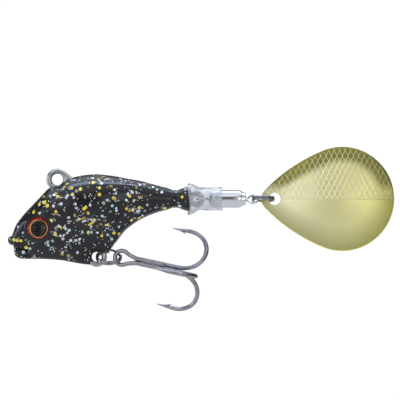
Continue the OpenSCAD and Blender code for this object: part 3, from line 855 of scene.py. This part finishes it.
def splitRingShape(row):
    # two turns of flat-wound wire, stepping over from one coil to the other
    centre, axis, coil = jointPlace(row["joint"]), jointAxis(row["joint"]), row["coil"]
    across = axis.orthogonal().normalized()
    up = axis.cross(across)
    radius = meanRadius(row["outer"], coil)
    rise = coil * ringTurn["rise"]
    points = []
    for k in range(0, ringTurn["degrees"] + 1, 4):
        angle = math.radians(row["start"] + k)
        step = ease((k - ringTurn["stepFrom"]) / ringTurn["stepOver"]) - 0.5
        points.append(centre + radius * (math.cos(angle) * across + math.sin(angle) * up) + rise * step * axis)
    return wireShape(points, roundedEnds(pathLength(points), coil / 2, 0.15), 18)


for place, row in splitRings.items():
    finishPiece(splitRingShape(row), f"wound_{place}_ring", f"{place}_ring", [f"{place}_split_ring"],
                ringSteel)
print("split rings")


bladeLow, bladeHigh = nodeBox("spinner_blade")
blade = {
    "cells": 196, "nose": 2.2, "flank": 30.0, "cup": 28.0, "cupAt": 0.54, "thick": 0.42,
    "hole": 1.15, "holeAt": 2.3, "centreLine": -0.12, "rim": 0.35,
}
bladeLength = bladeHigh.x - bladeLow.x
bladeWidth = bladeHigh.z - bladeLow.z


def eggInside(x, z):
    # a nose arc, two flank arcs and a bowl arc, each running into the next
    nose, flank, bowl = blade["nose"], blade["flank"], bladeWidth / 2
    bowlX = bladeLength - bowl
    z = abs(z)
    flankX = (((flank - nose) ** 2 - (flank - bowl) ** 2) / (bowlX - nose) + bowlX + nose) / 2
    flankZ = math.sqrt((flank - bowl) ** 2 - (flankX - bowlX) ** 2)
    toNose = (nose - flankX) / (flank - nose) * flank + flankX
    toBowl = (bowlX - flankX) / (flank - bowl) * flank + flankX
    if x < toNose:
        return math.hypot(x - nose, z) < nose
    if x > toBowl:
        return math.hypot(x - bowlX, z) < bowl
    return math.hypot(x - flankX, z + flankZ) < flank


def eggReach(angle, centreX):
    low, high = 0.0, bladeLength
    for _ in range(26):
        middle = (low + high) / 2
        if eggInside(centreX + middle * math.cos(angle), middle * math.sin(angle)):
            low = middle
        else:
            high = middle
    return low


def stampedHeight(x, z, reach):
    # the groove of the centre line, and the rolled rim
    fromHole = math.hypot(x - blade["holeAt"], z) - blade["hole"]
    lineAway = abs(z - blade["centreLine"])
    height = -0.05 * (1 - ease(reach / blade["rim"]))
    if fromHole > 0.4:
        height -= 0.05 * math.exp(-(lineAway / 0.09) ** 2) * ease((fromHole - 0.4) / 0.5) * ease(reach / 0.6)
    return height


def bladeShape():
    centreX = bladeLength * 0.56
    reaches = [eggReach(2 * math.pi * k / 720, centreX) for k in range(721)]
    cupX = bladeLength * blade["cupAt"]
    cupY = math.sqrt(blade["cup"] ** 2 - (cupX - blade["holeAt"]) ** 2)
    bm = bmesh.new()
    bmesh.ops.create_grid(bm, x_segments=blade["cells"], y_segments=blade["cells"], size=1)
    rimLayer = bm.verts.layers.float.new("rimReach")
    for vert in bm.verts:
        a, b = vert.co.x, vert.co.y
        u, v = a * math.sqrt(1 - b * b / 2), b * math.sqrt(1 - a * a / 2)
        share, angle = math.hypot(u, v), math.atan2(v, u) % (2 * math.pi)
        k = angle / (2 * math.pi) * 720
        reach = reaches[int(k)] + (reaches[min(720, int(k) + 1)] - reaches[int(k)]) * (k - int(k))
        x, z = centreX + share * reach * math.cos(angle), share * reach * math.sin(angle)
        bowl = cupY - math.sqrt(max(0.0, blade["cup"] ** 2 - (x - cupX) ** 2 - z * z))
        stamped = stampedHeight(x, z, (1 - share) * reach)
        vert[rimLayer] = (1 - share) * reach
        vert.co = (bladeLow.x + x, bowl - stamped, tailAxis.z + z)
    bmesh.ops.recalc_face_normals(bm, faces=bm.faces)
    bmesh.ops.translate(bm, vec=(0, -blade["thick"] / 2, 0), verts=bm.verts)
    bmesh.ops.solidify(bm, geom=bm.faces[:], thickness=blade["thick"])
    bmesh.ops.recalc_face_normals(bm, faces=bm.faces)
    return bm


bladePiece = finishPiece(bladeShape(), "stamped_blade", "blade", ["spinner_blade"], goldBlade, 60)
cutter = bmesh.new()
pegShape(cutter, bladeLow.x + blade["holeAt"], tailAxis.z, blade["hole"], -3, 3)
carved(bladePiece, cutter)
print("blade", len(bladePiece.data.polygons), "faces")


treble = {
    "wire": 0.41, "eye": 1.36, "pair": 0.42, "length": 15.6, "bend": 4.1, "wireEnd": 8.3, "pointLength": 3.4,
    "tipTilt": 5, "drop": 11.8, "yaw": -9, "barbFrom": 1.5, "barbTo": 3.1, "barbRise": 0.42,
    "eyeInside": 1.9,            # the bore of its eye
    "ringWire": 0.46,            # the belly ring's wire as the hook hangs on it
    "seat": 0.42,                # how far the eye sits over the ring's coil
    "hang": (0.1, -0.15),        # how far it hangs aside and below
}
braze = {"valley": 0.40, "radius": 0.24, "steps": 24, "from": 1.0, "endGap": 0.5, "ripple": 0.06}
# the middle of the treble's eye, seated on the belly ring
reachOut = (meanRadius(splitRings["belly"]["outer"], treble["ringWire"])
            + meanRadius(treble["eyeInside"], treble["ringWire"]) - treble["seat"])
trebleCentre = jointPlace("treble_swing") + Vector((reachOut, *treble["hang"]))
trebleTurn = (Matrix.Translation(trebleCentre) @ Matrix.Rotation(math.radians(treble["drop"]), 4, "Y")
              @ Matrix.Rotation(math.radians(treble["yaw"]), 4, "Z"))
throat = treble["eye"] + 1.15
bendX = treble["length"] - treble["wire"] - treble["bend"]
alongX = Vector((1, 0, 0))


def hookEnd(start, out):
    # the bend and the straight point, from the end of a shank that runs along +X
    centre = start + treble["bend"] * out
    bend = arcPath(centre, alongX, out, treble["bend"], -90, 90 + treble["tipTilt"], 5)
    heading = (bend[-1] - bend[-2]).normalized()
    return bend + [bend[-1] + heading * treble["pointLength"] * k / 12 for k in range(1, 13)]


def pointedWidth(length, front):
    # the wire's radius; it tapers to a point at its end, and at its start too when front is set
    def width(s):
        left = length - s
        if front:
            left = min(left, s)
        taper = left / treble["pointLength"]
        if taper >= 1:
            return treble["wire"] if front or s > 0.3 else treble["wire"] * (0.75 + 0.25 * s / 0.3)
        return max(0.018, treble["wire"] * taper ** 0.82)
    return width


def addBarb(bm, tip, heading, inward):
    # a sliver raised on the inside of the point, facing back
    root = tip - heading * treble["barbFrom"]
    end = tip - heading * treble["barbTo"] + inward * (treble["wire"] + treble["barbRise"])
    points = [root.lerp(end, k / 8) - inward * 0.10 * math.sin(math.pi * k / 8) for k in range(9)]
    length = pathLength(points)
    sweptWire(bm, points, lambda s: 0.02 + 0.20 * (1 - (s / length) ** 1.5), 12)


def eyedHookShape():
    front = Vector((0, -treble["pair"], 0))
    up, pair = Vector((0, 0, 1)), treble["pair"]
    corners = [front + Vector((treble["wireEnd"], 0, pair)), front + Vector((throat + 0.2, 0, pair))]
    corners += arcPath(front, alongX, up, treble["eye"], 44, 316, 6)
    corners += [front + Vector((throat + 0.2, 0, -pair)), front + Vector((treble["wireEnd"] + 0.2, 0, -pair))]
    shankEnd = front + Vector((bendX, 0, -pair * 0.9))
    corners += hookEnd(shankEnd, Vector((0, -1, 0)))
    points = evenPath(corners, 0.2, 5)
    bm = bmesh.new()
    sweptWire(bm, points, pointedWidth(pathLength(points), False), 22)
    heading = (points[-1] - points[-4]).normalized()
    addBarb(bm, points[-1], heading, Vector((0, 1, 0)))
    bmesh.ops.recalc_face_normals(bm, faces=bm.faces)
    bmesh.ops.transform(bm, matrix=trebleTurn, verts=bm.verts)
    return bm


def doubleHookShape():
    back = Vector((0, treble["pair"], 0))
    pair, headX = treble["pair"], throat + 0.3 + treble["wire"]
    outs = [Vector((0, 0.5, sign * math.cos(math.radians(30)))) for sign in (1, -1)]
    sides = [hookEnd(back + Vector((bendX, 0, sign * pair)), out) for sign, out in zip((1, -1), outs)]
    head = arcPath(back + Vector((headX, 0, 0)), alongX, Vector((0, 0, 1)), pair, 90, 270, 20)
    points = evenPath(list(reversed(sides[0])) + head + sides[1], 0.2, 3)
    bm = bmesh.new()
    sweptWire(bm, points, pointedWidth(pathLength(points), True), 22)
    addBarb(bm, points[0], (points[0] - points[3]).normalized(), -outs[0])
    addBarb(bm, points[-1], (points[-1] - points[-4]).normalized(), -outs[1])
    bmesh.ops.recalc_face_normals(bm, faces=bm.faces)
    bmesh.ops.transform(bm, matrix=trebleTurn, verts=bm.verts)
    return bm


def brazeShape():
    # metal run into the four valleys between the wires, and between them
    bm = bmesh.new()
    start, length = throat + braze["from"], treble["wireEnd"] - braze["endGap"] - throat - braze["from"]
    valley, steps = braze["valley"], braze["steps"]
    for y, z in ((0, valley), (0, -valley), (valley, 0), (-valley, 0), (0, 0)):
        points = [Vector((start + length * k / steps, y, z)) for k in range(steps + 1)]
        sweptWire(bm, points, lambda s: braze["radius"] * ease((min(s, length - s) + 0.1) / 0.5)
                  * (1 + braze["ripple"] * math.sin(5 * s + 3 * y + z)), 16)
    bmesh.ops.recalc_face_normals(bm, faces=bm.faces)
    bmesh.ops.transform(bm, matrix=trebleTurn, verts=bm.verts)
    return bm


finishPiece(eyedHookShape(), "formed_eyed_hook", "treble", ["treble_eyed_hook"], blackNickel)
finishPiece(doubleHookShape(), "formed_double_hook", "treble", ["treble_double_hook"],
            blackNickel)
finishPiece(brazeShape(), "brazed_valleys", "treble", ["treble_braze"], brazeMetal)
print("treble")


studio = {"viewWidth": 0.0760, "lens": 200.0, "aim": (0.02711, 0, -0.0039), "floorDrop": 0.15, "floorSize": 2.8}


def studioFloor():
    material, tree, shader = startMaterial("pale_floor")
    setSockets(tree, shader, {
        "Base Color": blendColours(tree, noiseField(tree, 6), (0.82, 0.79, 0.74), (0.86, 0.83, 0.78)),
        "Roughness": 0.8})
    bm = bmesh.new()
    bmesh.ops.create_grid(bm, x_segments=2, y_segments=2, size=studio["floorSize"] / 2)
    bmesh.ops.translate(bm, vec=(studio["aim"][0], 0, cadLow.z - studio["floorDrop"]), verts=bm.verts)
    mesh = bpy.data.meshes.new("studio_floor")
    bm.to_mesh(mesh)
    bm.free()
    mesh.materials.append(material)
    floor = bpy.data.objects.new("studio_floor", mesh)
    bpy.context.scene.collection.objects.link(floor)


def studioWorld():
    # white behind the object; what lights it is a dim room with a broad light above and ahead
    world = bpy.data.worlds.new("studio")
    bpy.context.scene.world = world
    world.use_nodes = True
    tree = world.node_tree
    coord = addNode(tree, "ShaderNodeTexCoord")
    parts = addNode(tree, "ShaderNodeSeparateXYZ")
    tree.links.new(coord.outputs["Generated"], parts.inputs["Vector"])
    shade = addNode(tree, "ShaderNodeValToRGB")
    ramp = shade.color_ramp
    ramp.elements[0].position, ramp.elements[0].color = 0.0, (0.34, 0.34, 0.34, 1)
    ramp.elements[1].position, ramp.elements[1].color = 1.0, (0.66, 0.80, 1.0, 1)
    for place, value in ((0.38, 0.66), (0.52, 0.78), (0.60, 0.76), (0.69, 0.36), (0.77, 0.42), (0.85, 0.85)):
        element = ramp.elements.new(place)
        element.color = (value, value, value * 1.04, 1)
    tree.links.new(spread(tree, parts.outputs["Z"], 0, 1, -1, 1), shade.inputs["Fac"])
    ahead = mathNode(tree, "MULTIPLY", parts.outputs["Y"], -1)
    front = spread(tree, ahead, 0.06, 1.0, 0.25, 0.75)
    # the dark gap between the lights, behind the camera
    aside = spread(tree, mathNode(tree, "ABSOLUTE", parts.outputs["X"]), 0.12, 1, 0.10, 0.20)
    aloft = spread(tree, mathNode(tree, "ABSOLUTE", parts.outputs["Z"]), 0.12, 1, 0.36, 0.48)
    lobes = mathNode(tree, "MULTIPLY", front, mathNode(tree, "MAXIMUM", aside, aloft))
    ceiling = spread(tree, parts.outputs["Z"], 0, 0.8, 0.5, 0.75)
    reach = mathNode(tree, "MAXIMUM", lobes, ceiling)
    lit = blendColours(tree, reach, (0.02, 0.02, 0.025), shade.outputs["Color"])
    rays = addNode(tree, "ShaderNodeLightPath")
    # through the clear pieces the white background shows, but only ahead
    through = mathNode(tree, "MULTIPLY", rays.outputs["Is Transmission Ray"],
                       spread(tree, parts.outputs["Y"], 0, 1, 0.0, 0.4))
    seen = mathNode(tree, "MAXIMUM", rays.outputs["Is Camera Ray"], through)
    tree.links.new(blendColours(tree, seen, lit, (0.66, 0.66, 0.66)),
                   tree.nodes["Background"].inputs["Color"])
    tree.nodes["Background"].inputs["Strength"].default_value = 1.55


def softLight(name, place, aim, size, watts, colour):
    light = bpy.data.lights.new(name, "AREA")
    light.shape = "RECTANGLE"
    light.size, light.size_y = size
    light.energy = watts
    light.color = colour
    lamp = bpy.data.objects.new(name, light)
    lamp.location = place
    lamp.rotation_euler = (Vector(aim) - Vector(place)).to_track_quat("-Z", "Y").to_euler()
    bpy.context.scene.collection.objects.link(lamp)


def studioCamera():
    cam = bpy.data.cameras.new("camera")
    cam.lens = studio["lens"]
    cam.sensor_width = 36.0
    cam.clip_start, cam.clip_end = 0.01, 20
    camera = bpy.data.objects.new("camera", cam)
    distance = studio["viewWidth"] * cam.lens / cam.sensor_width
    camera.location = Vector(studio["aim"]) + Vector((0, -distance, 0))
    camera.rotation_euler = (math.pi / 2, 0, 0)
    bpy.context.scene.collection.objects.link(camera)
    bpy.context.scene.camera = camera


studioFloor()
studioWorld()
softLight("key", (-0.22, -0.42, 0.30), (0.02, 0, -0.005), (0.22, 0.16), 0.14, (1.0, 0.98, 0.97))
softLight("top", (0.03, 0.10, 0.45), (0.03, 0, -0.005), (0.5, 0.14), 0.9, (0.66, 0.78, 1.0))
softLight("fill", (0.30, -0.40, 0.02), (0.03, 0, -0.005), (0.14, 0.30), 0.08, (1.0, 1.0, 1.0))
softLight("side", (-0.55, -0.02, 0.06), (0.0, 0, -0.008), (0.26, 0.34), 0.9, (0.80, 0.86, 1.0))
studioCamera()
bpy.context.scene.view_settings.view_transform = "Standard"
print("studio")
